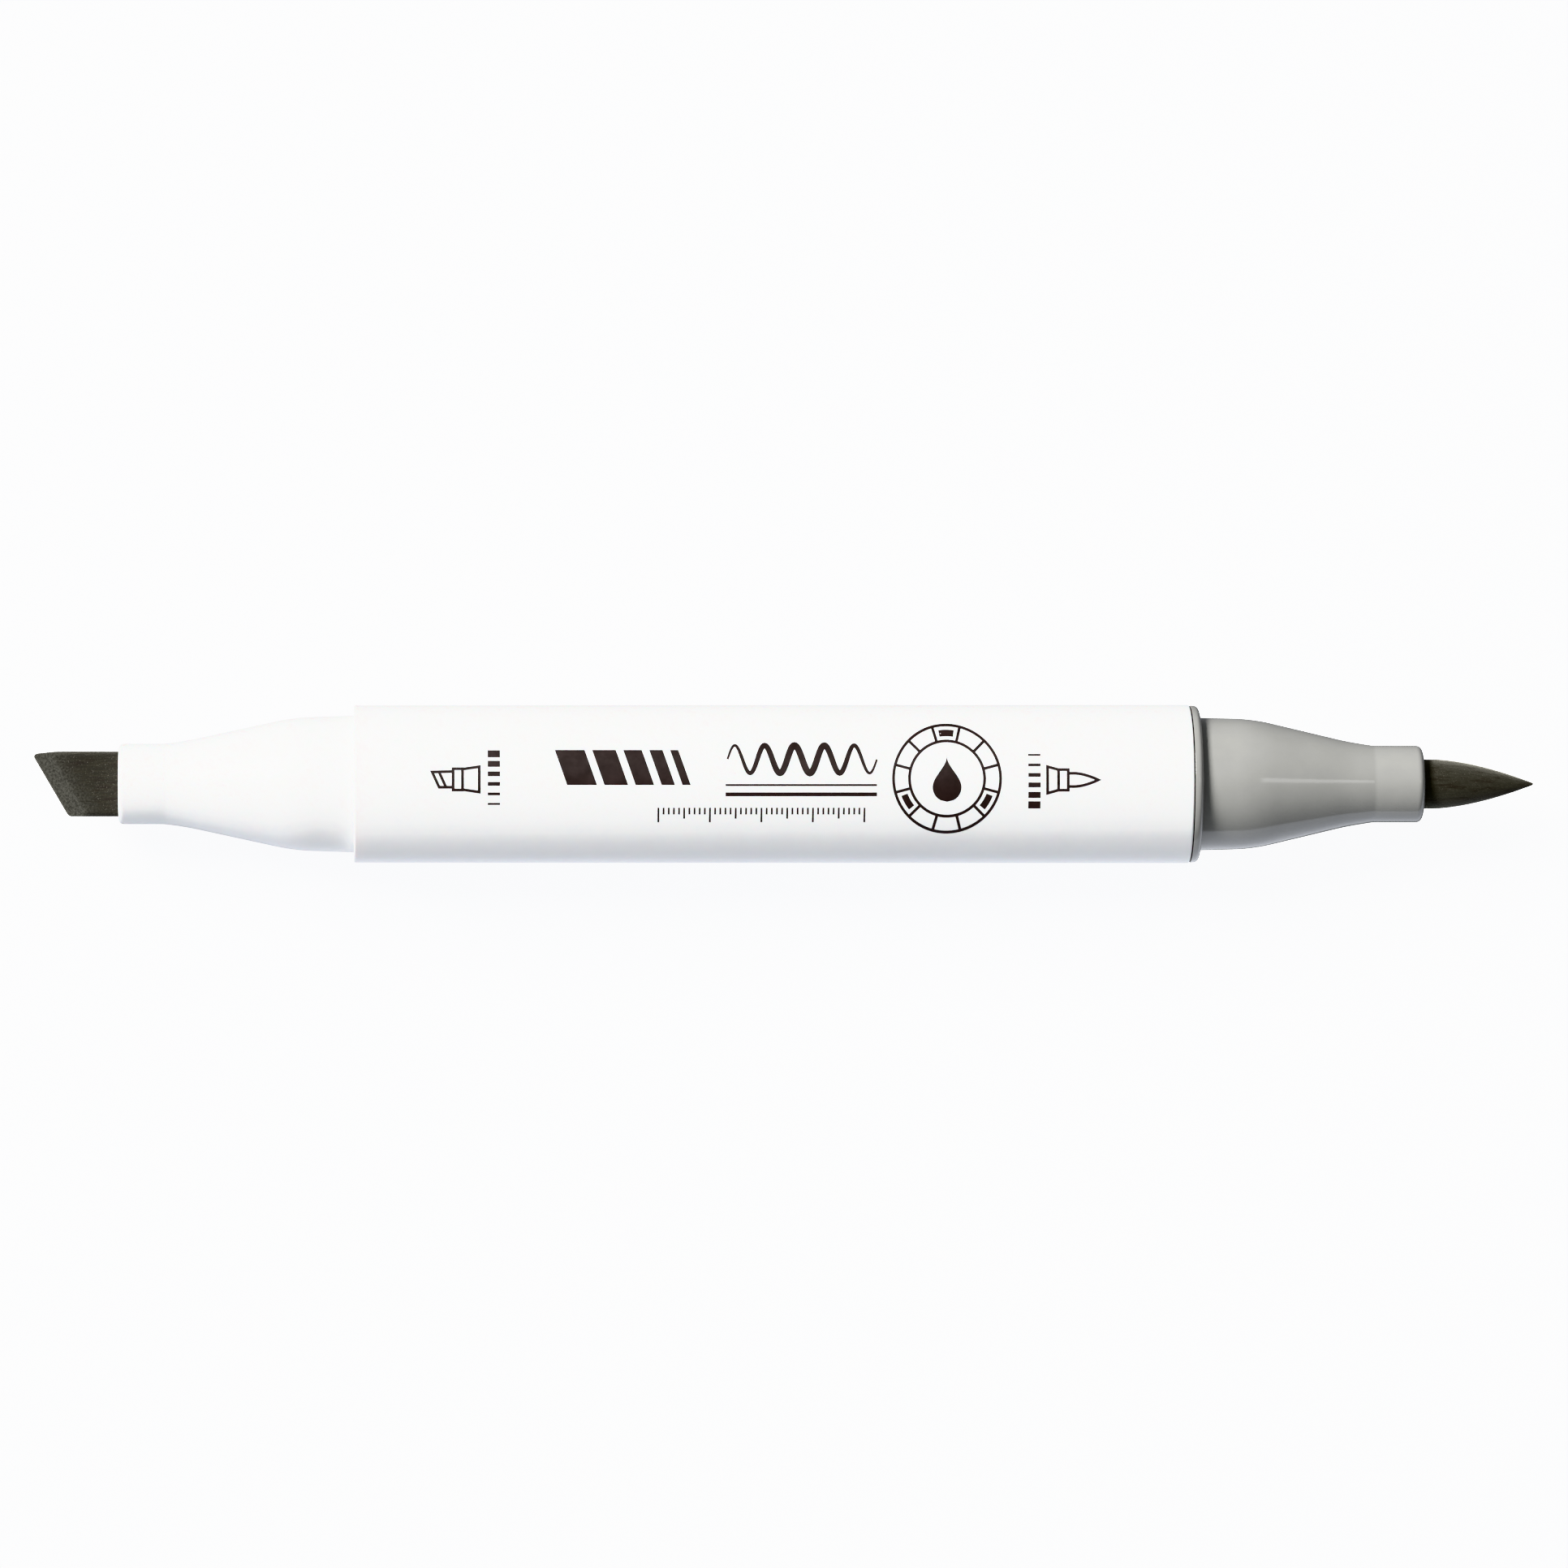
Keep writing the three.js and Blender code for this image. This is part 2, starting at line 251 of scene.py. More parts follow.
def apply_modifiers(piece):
    """Makes what the modifiers show the piece's own mesh."""
    graph = bpy.context.evaluated_depsgraph_get()
    mesh = bpy.data.meshes.new_from_object(piece.evaluated_get(graph))
    piece.modifiers.clear()
    piece.data = mesh


def combine(piece, tool, operation):
    """Cuts tool out of piece, or adds it, and removes tool."""
    modifier = piece.modifiers.new("combine", "BOOLEAN")
    modifier.operation = operation
    modifier.solver = "EXACT"
    modifier.object = tool
    apply_modifiers(piece)
    bpy.data.objects.remove(tool)


def add_ribs(piece, ribs, start, end, low, high):
    """Ribs on the inside of a round bore, evenly spaced, from low to high away from its axis."""
    half = ribs["width"] / 2
    for i in range(ribs["count"]):
        rib = block("rib", (start, -half, low), (end, half, high))
        rib.rotation_euler.x = 2 * math.pi * i / ribs["count"]
        bpy.context.view_layer.update()
        combine(piece, rib, "UNION")


def shade(piece):
    """Smooth faces, with sharp edges where the surface turns by more than SHARP."""
    bm = bmesh.new()
    bm.from_mesh(piece.data)
    for face in bm.faces:
        face.smooth = True
    for edge in bm.edges:
        edge.smooth = len(edge.link_faces) == 2 and edge.calc_face_angle(0) < SHARP
    bm.to_mesh(piece.data)
    bm.free()


# ---- Pieces ----

def make_barrel():
    """Barrel and chisel nozzle, open at the brush end, with ribs that centre the reservoir."""
    stop = CORE_LOW.x - SEAT_GAP
    bore = BARREL_RADIUS - WALL
    outside = nozzle_corners(CHISEL_NOZZLE, SHOULDER, -1)
    mouth, mouth_radius, along, across = outside.pop()
    outline = trace([
        (mouth, 0),
        (mouth, mouth_radius, across, along),
        *outside[::-1],
        (SHOULDER, BARREL_RADIUS - DRAFT, BARREL_EDGE),
        (BARREL_END, BARREL_RADIUS, BARREL_EDGE),
        (BARREL_END, bore),
        (stop, bore - DRAFT),
        (stop, CAVITY["radius"]),
        (SHOULDER - CAVITY["taper_start"], CAVITY["radius"]),
        (SHOULDER - CAVITY["end"], CAVITY["end_radius"]),
        (SHOULDER - CAVITY["end"], 0),
    ])
    barrel = lathe("barrel_shell", outline)
    half_width = CHISEL_HIGH.y + SLIDE_GAP
    half_height = CHISEL_HIGH.z + SLIDE_GAP
    slot = block(
        "slot",
        (BARREL_LOW.x - CUT_MARGIN, -half_width, -half_height),
        (SHOULDER - CUT_MARGIN, half_width, half_height),
    )
    combine(barrel, slot, "DIFFERENCE")
    end = stop + RIBS["length"]
    add_ribs(barrel, RIBS, stop, end, FILM_RADIUS + SEAT_GAP, bore + RIBS["root"])
    shade(barrel)
    return barrel


def make_plug():
    """A spigot inside the barrel, a rounded collar, and the brush nozzle with ribs for its nib."""
    inside = PLUG_RADIUS - PLUG_WALL
    spigot = BARREL_RADIUS - WALL - PRESS_GAP
    collar_start = BARREL_END + COLLAR["seam"]
    outline = trace([
        (PLUG_LOW.x, inside),
        (PLUG_LOW.x, spigot, SPIGOT_LEAD_IN),
        (collar_start, spigot),
        (collar_start, COLLAR["seam_radius"], COLLAR["seam_edge"]),
        (COLLAR_FACE, COLLAR["radius"], *COLLAR["round"]),
        *nozzle_corners(BRUSH_NOZZLE, COLLAR_FACE, 1),
        (PLUG_HIGH.x, BORE["radius"]),
        (COLLAR_FACE + BORE["start"], BORE["radius"]),
        (COLLAR_FACE + BORE["funnel_start"], inside),
    ])
    plug = lathe("brush_plug", outline)
    start = PLUG_HIGH.x - NIB_RIBS["length"]
    end = PLUG_HIGH.x - BRUSH_NOZZLE["rim"][0]
    add_ribs(plug, NIB_RIBS, start, end, BRUSH_RADIUS + RIB_GAP, BORE["radius"] + NIB_RIBS["root"])
    shade(plug)
    return plug


def make_chisel_nib():
    """The CAD bar with its edges rounded and its surface roughened as pressed fibre is."""
    nib = bpy.data.objects.new("chisel_felt", frame["nodes"]["chisel_nib"].data.copy())
    nib.data.materials.clear()
    bpy.context.scene.collection.objects.link(nib)
    bevel = nib.modifiers.new("bevel", "BEVEL")
    bevel.width = 0.08 * MM
    bevel.segments = 2
    remesh = nib.modifiers.new("remesh", "REMESH")
    remesh.voxel_size = 0.12 * MM
    remesh.use_smooth_shade = True
    worn = nib.modifiers.new("worn", "SMOOTH")
    worn.iterations = 5
    apply_modifiers(nib)
    roughen(nib, 0.018 * MM)
    return nib


def roughen(piece, depth):
    """Moves each point along its normal by noise drawn out along X, the way the fibres run."""
    normals = [Vector(vertex.normal) for vertex in piece.data.vertices]
    for vertex, normal in zip(piece.data.vertices, normals):
        streak = noise.noise(Vector((vertex.co.x * 600, vertex.co.y * 4000, vertex.co.z * 4000)))
        grain = noise.noise(vertex.co * 5000)
        vertex.co += normal * depth * (0.6 * streak + 0.4 * grain)


def make_brush_nib():
    """A round bar with a pointed head, whose taper bulges a little."""
    rear = Vector((BRUSH_LOW.x + BRUSH_REAR, BRUSH_RADIUS))
    shoulder = Vector((BRUSH_HIGH.x - BRUSH_TAPER, BRUSH_RADIUS))
    pull = Vector((shoulder.x + BRUSH_BULGE["at"] * BRUSH_TAPER, BRUSH_BULGE["radius"]))
    tip = Vector((BRUSH_HIGH.x, BRUSH_TIP_RADIUS))
    outline = [
        Vector((BRUSH_LOW.x, 0)),
        Vector((BRUSH_LOW.x, BRUSH_RADIUS - BRUSH_REAR)),
        *[rear.lerp(shoulder, i / FELT_STEPS) for i in range(FELT_STEPS)],
        *curve(shoulder, pull, tip, FELT_STEPS),
        Vector((BRUSH_HIGH.x, 0)),
    ]
    nib = lathe("brush_felt", outline, FELT_SEGMENTS, fibres)
    shade(nib)
    return nib


def fibres(x, angle):
    """How far fibre stands out of a round nib's surface: long streaks and fine grain."""
    depth = 0.02 * MM
    streak = noise.noise(Vector((x * 250, 9 * math.sin(angle), 9 * math.cos(angle))))
    grain = noise.noise(Vector((x * 3000, 25 * math.sin(angle), 25 * math.cos(angle))))
    return (0.7 * streak + 0.3 * grain) * depth


# ---- Print on the barrel ----

def on_barrel(x, v, lift):
    """A point x along the barrel and v across it as seen from above, lifted off its surface."""
    share = (x - SHOULDER) / (BARREL_END - SHOULDER)
    radius = BARREL_RADIUS - DRAFT * (1 - share)
    angle = math.asin(v / radius)
    reach = radius + lift
    return (x, reach * math.sin(angle), reach * math.cos(angle))


def add_band(bm, left, right, closed=False):
    """A thin layer of ink between two rows of points (x, v), wrapped onto the barrel."""
    rows = []
    for (xa, va), (xb, vb) in zip(left, right):
        rows.append([
            bm.verts.new(on_barrel(xa, va, INK_PROUD)),
            bm.verts.new(on_barrel(xb, vb, INK_PROUD)),
            bm.verts.new(on_barrel(xb, vb, -INK_SUNK)),
            bm.verts.new(on_barrel(xa, va, -INK_SUNK)),
        ])
    pairs = list(zip(rows, rows[1:]))
    if closed:
        pairs.append((rows[-1], rows[0]))
    else:
        bm.faces.new(rows[0])
        bm.faces.new(rows[-1][::-1])
    for a, b in pairs:
        for i in range(4):
            j = (i + 1) % 4
            bm.faces.new((a[i], b[i], b[j], a[j]))


def resample(points, closed, step=0.4 * MM):
    """The same line with a point at least every step, so that it can follow the barrel."""
    painted_glints = points[1:] + points[:1] if closed else points[1:]
    dense = []
    for a, b in zip(points, painted_glints):
        count = max(1, math.ceil((b - a).length / step))
        dense += [a.lerp(b, i / count) for i in range(count)]
    if not closed:
        dense.append(points[-1])
    return dense


def stroke(bm, points, width, closed=False):
    """A line with mitred corners. The width may be a function of the share of the line drawn."""
    points = resample([Vector(p) for p in points], closed)
    left, right = [], []
    count = len(points)
    for i, here in enumerate(points):
        last = points[i - 1] if closed or i else here
        following = points[(i + 1) % count] if closed or i < count - 1 else here
        into = (here - last).normalized() if here != last else (following - here).normalized()
        out = (following - here).normalized() if here != following else into
        across = Vector((-(into + out).y, (into + out).x)).normalized()
        full = width(i / (count - 1)) if callable(width) else width
        mitre = across.dot(Vector((-into.y, into.x)))
        reach = full / 2 / max(BLUNTEST_MITRE, mitre)
        left.append(here + across * reach)
        right.append(here - across * reach)
    add_band(bm, left, right, closed)


def sector(bm, centre, outer, inner, start=0, sweep=2 * math.pi):
    """A piece of a ring, or the whole ring."""
    closed = sweep == 2 * math.pi
    count = math.ceil(sweep / ARC_STEP)
    turns = [start + sweep * i / count for i in range(count if closed else count + 1)]
    directions = [Vector((math.cos(turn), math.sin(turn))) for turn in turns]
    left = [centre + d * outer for d in directions]
    right = [centre + d * inner for d in directions]
    add_band(bm, left, right, closed)


def drop(bm, centre, radius):
    """A filled drop: a half disc below, and a point drawn up above."""
    left, right = [], []
    steps = 32
    point = 2.2 * radius
    thinnest = 0.01 * MM
    for i in range(steps + 1):
        v = -radius + i / steps * (radius + point)
        if v < 0:
            half = math.sqrt(max(0, radius ** 2 - v ** 2))
        else:
            half = radius * (1 + math.cos(math.pi * v / point)) / 2
        half = max(half, thinnest)
        left.append((centre.x - half, centre.y + v))
        right.append((centre.x + half, centre.y + v))
    add_band(bm, left, right)


def weight_column(bm, x, centre, widths):
    """Short lines of different weights, stacked across the barrel."""
    pitch = 0.97 * MM
    length = 1.2 * MM
    top = centre + pitch * (len(widths) - 1) / 2
    for i, width in enumerate(widths):
        v = top - i * pitch
        stroke(bm, [(x - length / 2, v), (x + length / 2, v)], width * MM)


def placed(outline, x, v):
    """An outline given in millimetres, moved to (x, v)."""
    return [(x + a * MM, v + b * MM) for a, b in outline]


def chisel_icon(bm, x, v):
    """A small picture of the chisel end."""
    body = [(0.66, 0.99), (2.28, 1.23), (2.28, -1.23), (0.66, -0.99)]
    band = [(-0.25, 1.03), (0.66, 1.03), (0.66, -1.03), (-0.25, -1.03)]
    nib = [(-0.25, 0.76), (-2.28, 0.72), (-1.6, -0.76), (-0.25, -0.76)]
    for outline in (body, band, nib):
        stroke(bm, placed(outline, x, v), THIN_LINE, closed=True)
    bevel = [(-1.62, 0.74), (-0.94, -0.76)]
    stroke(bm, placed(bevel, x, v), THIN_LINE)


def brush_icon(bm, x, v):
    """A small picture of the brush end."""
    body = [(-1.41, 0.99), (-2.48, 1.29), (-2.48, -1.29), (-1.41, -0.99)]
    band = [(-1.41, 1.0), (-0.47, 1.0), (-0.47, -1.0), (-1.41, -1.0)]
    for outline in (body, band):
        stroke(bm, placed(outline, x, v), THIN_LINE, closed=True)
    half = 0.64
    steps = 12
    side = [(-0.47, half)]
    for i in range(steps + 1):
        t = i / steps
        side.append((0.15 + 2.3 * t, half * (1 - t ** 1.7)))
    nib = side + [(a, -b) for a, b in side[-2::-1]]
    stroke(bm, placed(nib, x, v), THIN_LINE)


def chisel_samples(bm, start, low, high):
    """Strokes of a slanted nib, from broad to fine."""
    slope = 0.35
    gap = 0.72 * MM
    steps = 16
    for width in (2.9, 2.3, 1.8, 1.3, 0.8):
        left, right = [], []
        for i in range(steps + 1):
            v = low + (high - low) * i / steps
            x = start + (high - v) * slope
            left.append((x, v))
            right.append((x + width * MM, v))
        add_band(bm, left, right)
        start += width * MM + gap


def brush_sample(bm, start, end, v):
    """One waved stroke of a brush nib, that swells and thins again."""
    height = 1.35 * MM
    waves = 5
    points = []
    steps = 160
    for i in range(steps + 1):
        share = i / steps
        lift = height * math.sin(2 * math.pi * waves * share)
        points.append((start + (end - start) * share, v + lift))
    stroke(bm, points, lambda share: (0.2 + 0.46 * math.sin(math.pi * share)) * MM)


def ruler(bm, start, marks, v):
    """Marks half a millimetre apart that hang from v, with every fifth and tenth one longer."""
    for i in range(marks):
        length = 0.65
        if i % 10 == 0:
            length = 1.4
        elif i % 5 == 0:
            length = 1.05
        x = start + i * MM / 2
        stroke(bm, [(x, v), (x, v - length * MM)], 0.17 * MM)


def colour_wheel(bm, centre):
    """A ring parted in twelve, with the three main fields filled, round a drop."""
    outer = 5.2 * MM
    inner = 3.65 * MM
    margin = 0.45 * MM
    side_margin = 0.1  # radians
    for radius in (outer, inner):
        sector(bm, centre, radius + THIN_LINE / 2, radius - THIN_LINE / 2)
    fields = 12
    field = 2 * math.pi / fields
    for i in range(fields):
        turn = math.pi / 2 + (i + 0.5) * field
        along = Vector((math.cos(turn), math.sin(turn)))
        stroke(bm, [centre + along * inner, centre + along * outer], THIN_LINE)
        if i % 4 == 3:
            start = turn + side_margin
            sector(bm, centre, outer - margin, inner + margin, start, field - 2 * side_margin)
    drop(bm, centre - Vector((0, 0.85 * MM)), 1.4 * MM)


def make_print():
    """Generic marks in place of lettering: pictures of the nibs, sample strokes, a ruler."""
    bm = bmesh.new()

    def at(distance):
        """The place so many millimetres from the shoulder."""
        return SHOULDER + distance * MM

    chisel_icon(bm, at(9.85), 0.45 * MM)
    weight_column(bm, at(13.55), 0.5 * MM, LINE_WEIGHTS)
    chisel_samples(bm, at(19.45), -0.1 * MM, 3.3 * MM)
    brush_sample(bm, at(36.2), at(50.7), 2.4 * MM)
    stroke(bm, [(at(36), -0.1 * MM), (at(50.7), -0.1 * MM)], 0.2 * MM)
    stroke(bm, [(at(36), -1 * MM), (at(50.7), -1 * MM)], 0.38 * MM)
    ruler(bm, at(29.5), 41, -2.3 * MM)
    colour_wheel(bm, Vector((at(57.5), 0.53 * MM)))
    weight_column(bm, at(66), 0.4 * MM, LINE_WEIGHTS[::-1])
    brush_icon(bm, at(69.75), 0.4 * MM)
    return new_object("barrel_print", bm)


# ---- Materials ----

class Material:
    """A material and short ways to add nodes to it."""

    def __init__(self, name, **values):
        self.material = bpy.data.materials.new(name)
        self.material.use_nodes = True
        self.nodes = self.material.node_tree.nodes
        self.shader = next(n for n in self.nodes if n.type == "BSDF_PRINCIPLED")
        for socket, value in values.items():
            self.shader.inputs[socket.replace("_", " ")].default_value = value

    def link(self, output, target):
        """Feeds a node's output into a socket."""
        self.material.node_tree.links.new(output, target)

    def place(self, scale):
        """Object coordinates, stretched by scale along each axis."""
        coordinates = self.nodes.new("ShaderNodeTexCoord")
        mapping = self.nodes.new("ShaderNodeMapping")
        mapping.inputs["Scale"].default_value = scale
        self.link(coordinates.outputs["Object"], mapping.inputs["Vector"])
        return mapping.outputs["Vector"]

    def noise(self, scale, detail=3, roughness=0.6):
        """Noise with about as many periods to the metre as scale says, along each axis."""
        texture = self.nodes.new("ShaderNodeTexNoise")
        texture.inputs["Scale"].default_value = 1
        texture.inputs["Detail"].default_value = detail
        texture.inputs["Roughness"].default_value = roughness
        self.link(self.place(scale), texture.inputs["Vector"])
        return texture.outputs["Fac"]

    def along(self, direction, start, end):
        """Goes from 0 to 1 between two distances along a direction in the object."""
        coordinates = self.nodes.new("ShaderNodeTexCoord")
        dot = self.nodes.new("ShaderNodeVectorMath")
        dot.operation = "DOT_PRODUCT"
        dot.inputs[1].default_value = direction
        self.link(coordinates.outputs["Object"], dot.inputs[0])
        share = self.nodes.new("ShaderNodeMapRange")
        share.inputs["From Min"].default_value = start
        share.inputs["From Max"].default_value = end
        self.link(dot.outputs["Value"], share.inputs["Value"])
        return share.outputs["Result"]

    def ramp(self, value, stops):
        """Colours a value by stops (position, colour)."""
        ramp = self.nodes.new("ShaderNodeValToRGB")
        elements = ramp.color_ramp.elements
        while len(elements) < len(stops):
            elements.new(0.5)
        for element, (position, colour) in zip(elements, stops):
            element.position = position
            element.color = colour
        self.link(value, ramp.inputs["Fac"])
        return ramp.outputs["Color"]

    def mix(self, share, a, b):
        """Colour a where share is 0 and b where it is 1. Each may be a node's output or a value."""
        node = self.nodes.new("ShaderNodeMix")
        node.data_type = "RGBA"
        for socket, value in (("Factor", share), ("A", a), ("B", b)):
            target = next(i for i in node.inputs if i.name == socket and i.enabled)
            if isinstance(value, bpy.types.NodeSocket):
                self.link(value, target)
            else:
                target.default_value = value
        return next(o for o in node.outputs if o.enabled)

    def colour(self, value):
        self.link(value, self.shader.inputs["Base Color"])

    def tones(self, value, low, high):
        """A base colour that drifts between two tones with value."""
        self.colour(self.ramp(value, [(0.3, low), (0.7, high)]))

    def roughness(self, value, low, high):
        """Roughness that goes from low to high as value goes from 0 to 1."""
        scale = self.nodes.new("ShaderNodeMapRange")
        scale.inputs["To Min"].default_value = low
        scale.inputs["To Max"].default_value = high
        self.link(value, scale.inputs["Value"])
        self.link(scale.outputs["Result"], self.shader.inputs["Roughness"])

    def bump(self, height, depth):
        """Relief as deep as depth, on top of the relief that is there already."""
        node = self.nodes.new("ShaderNodeBump")
        node.inputs["Distance"].default_value = depth
        self.link(height, node.inputs["Height"])
        if self.shader.inputs["Normal"].is_linked:
            self.link(self.shader.inputs["Normal"].links[0].from_socket, node.inputs["Normal"])
        self.link(node.outputs["Normal"], self.shader.inputs["Normal"])


def grey(level):
    return (level, level, level, 1)


def white_plastic():
    m = Material("white_plastic", Subsurface_Weight=0.12, Subsurface_Scale=1.5 * MM)
    m.tones(m.noise((400, 400, 400)), (0.87, 0.87, 0.868, 1), (0.895, 0.895, 0.89, 1))
    m.roughness(m.noise((40, 900, 900)), 0.24, 0.4)
    m.bump(m.noise((30, 2500, 2500)), 0.002 * MM)
    m.bump(m.noise((1500, 1500, 1500)), 0.003 * MM)
    return m.material


def grey_plastic():
    m = Material("grey_plastic", Specular_IOR_Level=0.6)
    m.tones(m.noise((300, 300, 300)), (0.262, 0.262, 0.25, 1), (0.28, 0.28, 0.267, 1))
    m.roughness(m.noise((200, 800, 800)), 0.07, 0.16)
    m.bump(m.noise((2500, 2500, 2500)), 0.0015 * MM)
    return m.material


def felt(name, dark, light, relief, **finish):
    """Ink-soaked fibre: streaks along X, wetter patches, fuzz, and a few pale specks painted in as
    glints off fibre ends.

    Returns the material and its colour, which can be mixed with another one.
    """
    fuzz_tint = (0.8, 0.78, 0.68, 1)
    wet_tint = (0.007, 0.004, 0.002, 1)
    glint_tint = (0.09, 0.085, 0.07, 1)
    m = Material(name, Sheen_Tint=fuzz_tint, **finish)
    streaks = m.noise((450, 6000, 6000), detail=4, roughness=0.75)
    strands = m.ramp(streaks, [(0.38, dark), (0.66, light)])
    wet = m.ramp(m.noise((350, 1800, 1800)), [(0.5, grey(0)), (0.66, grey(0.8))])
    soaked = m.mix(wet, strands, wet_tint)
    # Pale specks in the base colour: painted glints off fibre ends, not a lamp's real shine.
    specks = m.noise((9000, 14000, 14000), detail=1, roughness=0.4)
    painted_glints = m.ramp(specks, [(0.66, grey(0)), (0.76, grey(1))])
    felt_colour = m.mix(painted_glints, soaked, glint_tint)
    m.colour(felt_colour)
    m.roughness(streaks, 0.75, 1.0)
    m.bump(m.noise((1500, 6000, 6000), detail=4, roughness=0.7), relief)
    return m, felt_colour


def chisel_felt():
    """Along the writing edge the fibre is grainy from grinding, and it is painted paler there as a
    painted highlight for the bevel that faces the key lamp.
    """
    dark = (0.007, 0.006, 0.003, 1)
    light = (0.021, 0.0185, 0.012, 1)
    # Paler tones near the writing edge: partly the fibre's own grain, partly a painted highlight for
    # the bevel turned towards the key lamp.
    grain_and_lit_dark = (0.009, 0.0085, 0.0055, 1)
    grain_and_lit_pale = (0.044, 0.043, 0.035, 1)
    fuzz = {"Sheen_Weight": 0.3, "Sheen_Roughness": 0.5}
    m, felt_colour = felt("chisel_felt", dark, light, 0.1 * MM, **fuzz)
    slant = (math.cos(CHISEL_SLANT), math.sin(CHISEL_SLANT), 0)
    edge = Vector(slant).dot((CHISEL_LOW.x, CHISEL_HIGH.y, 0))
    inward = m.along(slant, edge + 1.2 * MM, edge + 3.2 * MM)
    grain = m.noise((5000, 5000, 5000), detail=2, roughness=0.7)
    # Grainy colour with painted light, strongest at the writing edge and fading out 1.2 to 3.2 mm
    # inwards.
    grain_and_painted_light = m.ramp(grain, [(0.38, grain_and_lit_dark), (0.62, grain_and_lit_pale)])
    m.colour(m.mix(inward, grain_and_painted_light, felt_colour))
    return m.material


def brush_felt():
    """Finer fibre than the chisel's: smoother, but with more fuzz and less shine."""
    dark = (0.02, 0.019, 0.014, 1)
    light = (0.033, 0.0315, 0.025, 1)
    fuzz = {"Sheen_Weight": 0.46, "Sheen_Roughness": 0.5, "Specular_IOR_Level": 0.2}
    m, _ = felt("brush_felt", dark, light, 0.05 * MM, **fuzz)
    return m.material


def print_ink():
    m = Material("print_ink")
    blotches = m.noise((900, 900, 900))
    m.tones(blotches, (0.012, 0.007, 0.006, 1), (0.02, 0.012, 0.011, 1))
    m.roughness(blotches, 0.35, 0.5)
    m.bump(m.noise((5000, 5000, 5000)), 0.003 * MM)
    return m.material


def reservoir_fibre():
    m = Material("reservoir_fibre")
    streaks = m.noise((150, 3000, 3000), detail=4, roughness=0.7)
    m.tones(streaks, (0.012, 0.011, 0.008, 1), (0.06, 0.056, 0.042, 1))
    m.roughness(streaks, 0.8, 1.0)
    m.bump(streaks, 0.1 * MM)
    return m.material


def clear_film():
    m = Material("film", Transmission_Weight=0.6, IOR=1.49)
    m.tones(m.noise((200, 200, 200)), (0.7, 0.7, 0.68, 1), (0.8, 0.8, 0.78, 1))
    m.roughness(m.noise((100, 900, 900)), 0.12, 0.3)
    m.bump(m.noise((60, 700, 700)), 0.02 * MM)
    return m.material


def table_top():
    m = Material("table_top", Emission_Color=(0.99, 0.993, 1, 1), Emission_Strength=2)
    blotches = m.noise((12, 12, 12))
    m.tones(blotches, (0.88, 0.885, 0.895, 1), (0.9, 0.905, 0.915, 1))
    m.roughness(blotches, 0.5, 0.6)
    return m.material


def dress(piece, material):
    """Gives a piece this material alone."""
    piece.data.materials.clear()
    piece.data.materials.append(material)


# ---- Surroundings ----

def make_table():
    """A pale table that glows a little, so that only a faint shadow is left on it.

    It throws no light back at the marker: the lamp under it does that, and shines through it.
    """
    half_side = 3
    bm = bmesh.new()
    bmesh.ops.create_grid(bm, x_segments=1, y_segments=1, size=half_side)
    table = new_object("table", bm)
    table.location.z = -BARREL_RADIUS
    table.visible_diffuse = False
    table.visible_glossy = False
    table.visible_shadow = False
    dress(table, table_top())


def area_light(name, place, target, size, power, colour=(1, 1, 1)):
    """A soft box that faces target. Its width runs along X as nearly as it can."""
    light = bpy.data.lights.new(name, "AREA")
    light.shape = "RECTANGLE"
    light.size, light.size_y = size
    light.energy = power
    light.color = colour
    lamp = bpy.data.objects.new(name, light)
    bpy.context.scene.collection.objects.link(lamp)
    back = (Vector(place) - Vector(target)).normalized()
    up = back.cross(Vector((1, 0, 0))).normalized()
    side = up.cross(back)
    turn = Matrix((side, up, back)).transposed()
    lamp.matrix_world = Matrix.Translation(place) @ turn.to_4x4()


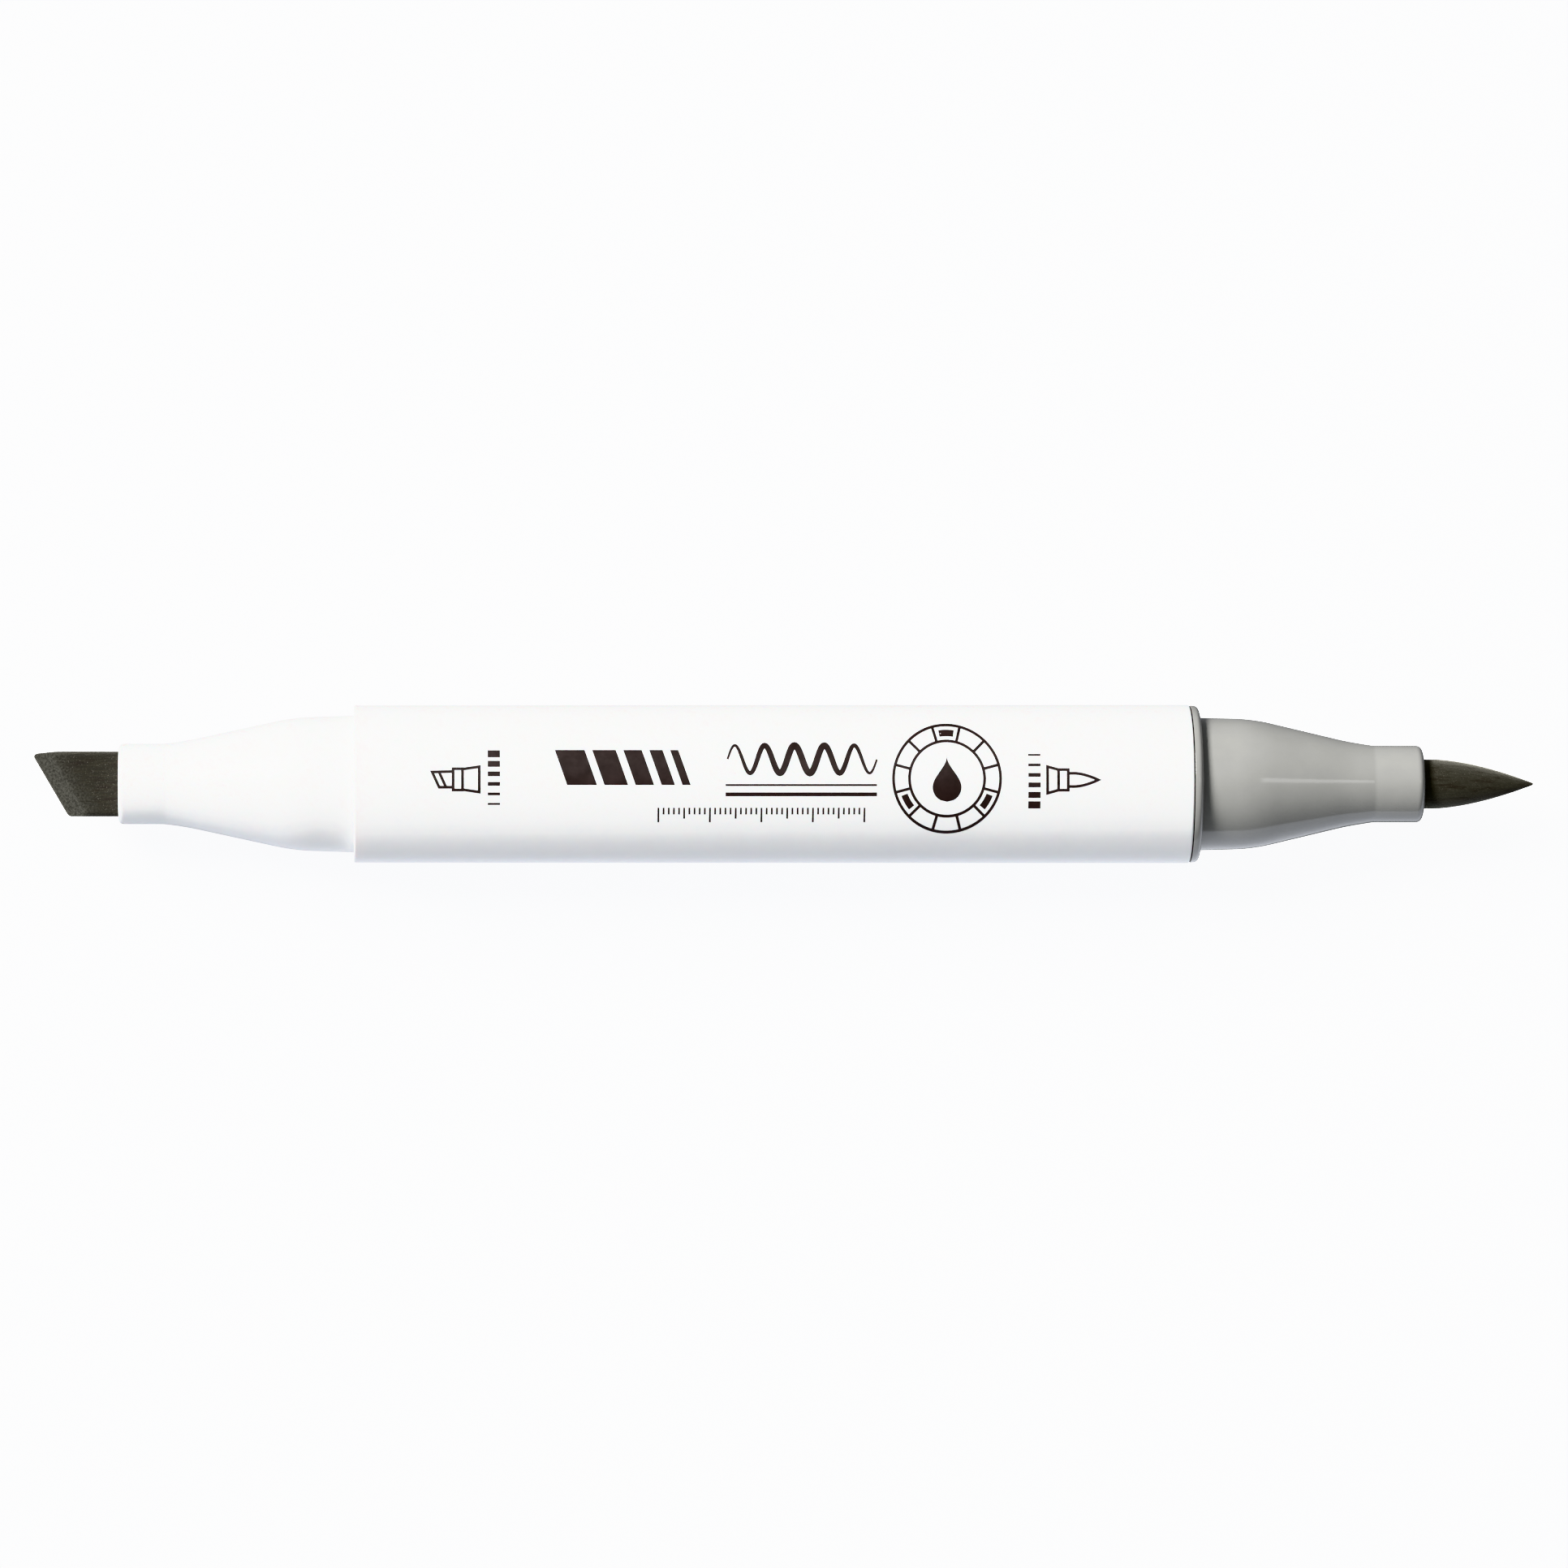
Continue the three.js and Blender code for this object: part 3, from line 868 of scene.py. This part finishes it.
def make_lights():
    """The main lamp, a weak one for the streak of shine on the nozzle, the table's glow, the room."""
    area_light(
        "key",
        place=(-1.24, 0.88, 1.25),
        target=(0, 0, 0),
        size=(0.6, 1),
        power=106,
        colour=(1, 0.993, 0.98),
    )
    area_light(
        "spark",
        place=(0.89, 0.18, 1.4),
        target=(0.05, 0, 0),
        size=(0.5, 0.2),
        power=0.75,
    )
    under_table = -BARREL_RADIUS - 2 * MM
    near_side = -0.51
    area_light(
        "glow",
        place=(0, near_side, under_table),
        target=(0, near_side, 1),
        size=(2, 1),
        power=7.7,
        colour=(0.86, 0.9, 1),
    )
    world = bpy.data.worlds.new("studio")
    world.use_nodes = True
    background = world.node_tree.nodes["Background"]
    background.inputs["Color"].default_value = (0.95, 0.97, 1, 1)
    background.inputs["Strength"].default_value = 0.28
    bpy.context.scene.world = world


def make_camera():
    """Straight above the marker, far off, and a little towards the chisel end."""
    data = bpy.data.cameras.new("camera")
    camera = bpy.data.objects.new("camera", data)
    bpy.context.scene.collection.objects.link(camera)
    distance = 1.05
    picture_width = 153.15 * MM  # at the marker's axis
    lean = math.radians(2.3)
    aim = -0.12 * MM
    camera.location = (aim - distance * math.sin(lean), 0, distance * math.cos(lean))
    camera.rotation_euler = (0, -lean, 0)
    data.sensor_width = 36
    data.lens = data.sensor_width * distance / picture_width
    data.clip_start = 0.05
    data.clip_end = 20
    bpy.context.scene.camera = camera


def set_view():
    view = bpy.context.scene.view_settings
    view.view_transform = "Khronos PBR Neutral"
    view.look = "None"


def add(piece, material, body, slot, *nodes):
    """Dresses a piece, and says which body it rides on and which CAD nodes it replaces."""
    dress(piece, material)
    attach(piece, body)
    if nodes:
        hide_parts(*nodes)


make_camera()
set_view()
make_table()
make_lights()
add(make_barrel(), white_plastic(), "marker_body", "white_plastic", "barrel")
add(make_plug(), grey_plastic(), "marker_body", "grey_plastic", "brush_nozzle")
add(make_print(), print_ink(), "marker_body", "print_ink")
add(make_chisel_nib(), chisel_felt(), "chisel_nib", "chisel_felt", "chisel_nib")
add(make_brush_nib(), brush_felt(), "brush_nib", "brush_felt", "brush_nib")
dress(frame["nodes"]["ink_reservoir"], reservoir_fibre())
dress(frame["nodes"]["reservoir_film"], clear_film())
